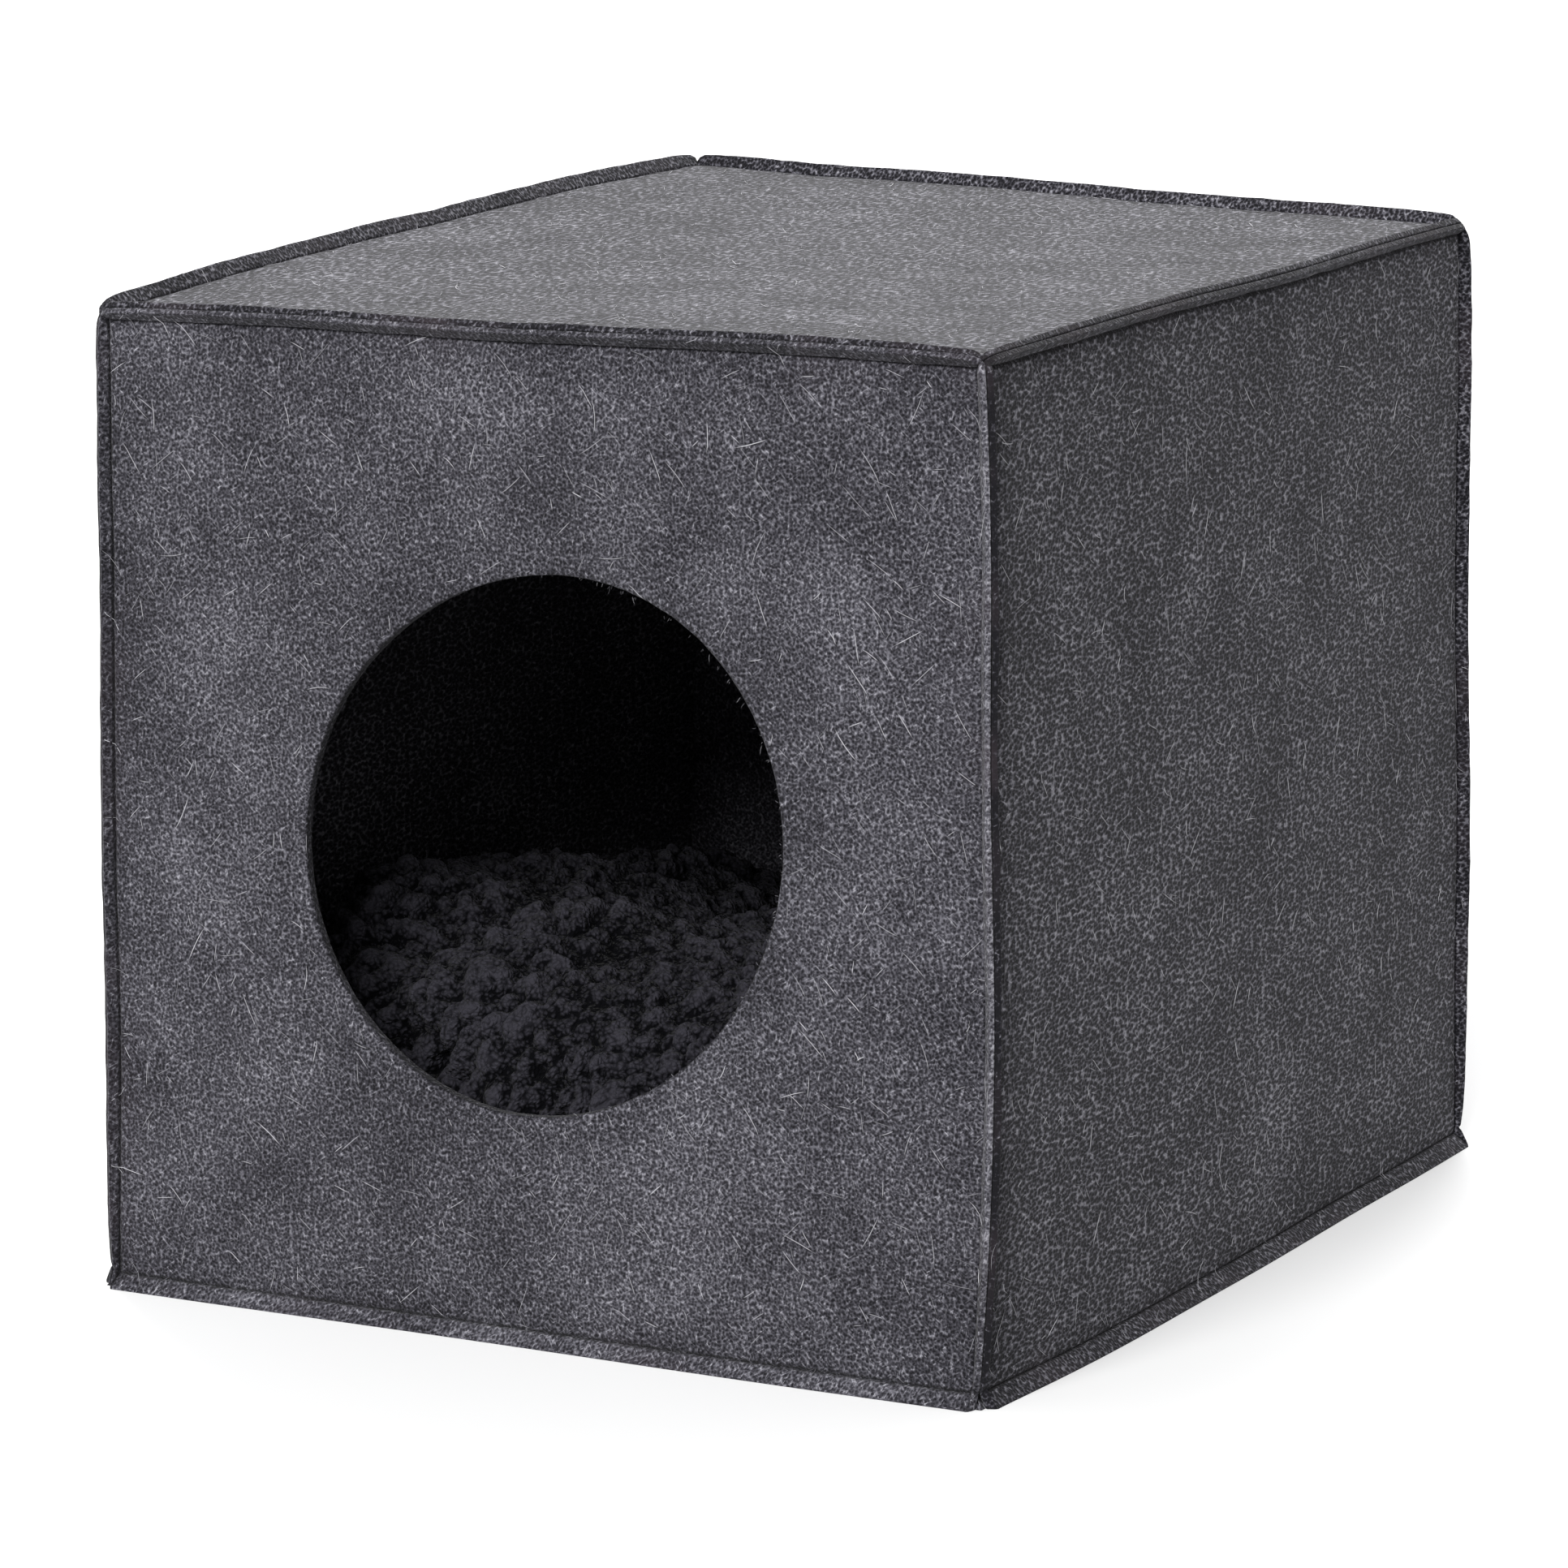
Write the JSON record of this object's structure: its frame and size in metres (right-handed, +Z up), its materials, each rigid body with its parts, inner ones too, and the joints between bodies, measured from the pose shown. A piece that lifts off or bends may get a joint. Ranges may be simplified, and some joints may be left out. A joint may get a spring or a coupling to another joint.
{
  "type": "felt cat cave",
  "caption": "Box-shaped felt cat cave with a round entrance in the front, outward-turned seam rims along its edges, and a plush cushion inside.",
  "frame": {"origin": "on the surface that the cave stands on, below the middle of its box", "axes": "+Z up, the round entrance faces -Y, +X to the right seen from the front"},
  "size_m": [0.333, 0.3833, 0.3355],
  "materials": {
    "charcoal_heather_felt": "dry matt needle felt in mixed charcoal and light grey fibres",
    "black_sherpa_plush": "soft curly short pile with a faint cool sheen"
  },
  "bodies": {
    "root": {"front_panel": "charcoal_heather_felt", "back_panel": "charcoal_heather_felt", "left_panel": "charcoal_heather_felt", "right_panel": "charcoal_heather_felt", "top_panel": "charcoal_heather_felt", "base_panel": "charcoal_heather_felt", "cushion": "black_sherpa_plush"}
  },
  "joints": []
}
